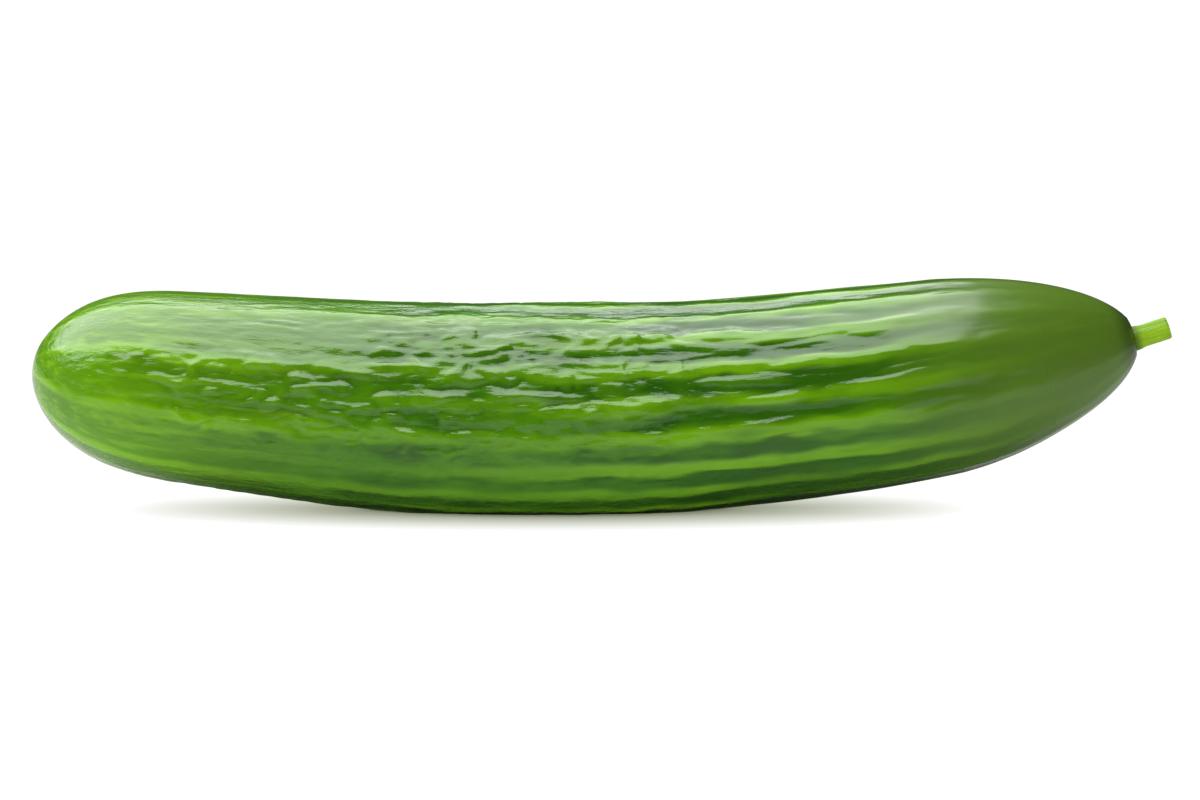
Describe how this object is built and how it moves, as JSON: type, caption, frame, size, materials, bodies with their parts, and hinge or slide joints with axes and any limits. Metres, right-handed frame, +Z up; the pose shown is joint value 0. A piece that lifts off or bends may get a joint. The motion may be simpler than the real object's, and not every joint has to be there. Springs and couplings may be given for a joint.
{
  "type": "cucumber",
  "caption": "Whole slicing cucumber, gently curved, with a blunt blossom end, a tapering stem end and a short cut stem stub; it lies on its belly.",
  "frame": {"origin": "on the ground, under the middle of the bounding box", "axes": "+X along the cucumber towards its stem, +Z up, +Y across it"},
  "size_m": [0.259, 0.0478, 0.0533],
  "materials": {
    "skin": "waxy, semi-gloss, finely wrinkled green skin",
    "stem": "satin, yellow-green, finely ridged plant stem"
  },
  "bodies": {
    "root": {"fruit": "skin", "stem": "stem"}
  },
  "joints": []
}
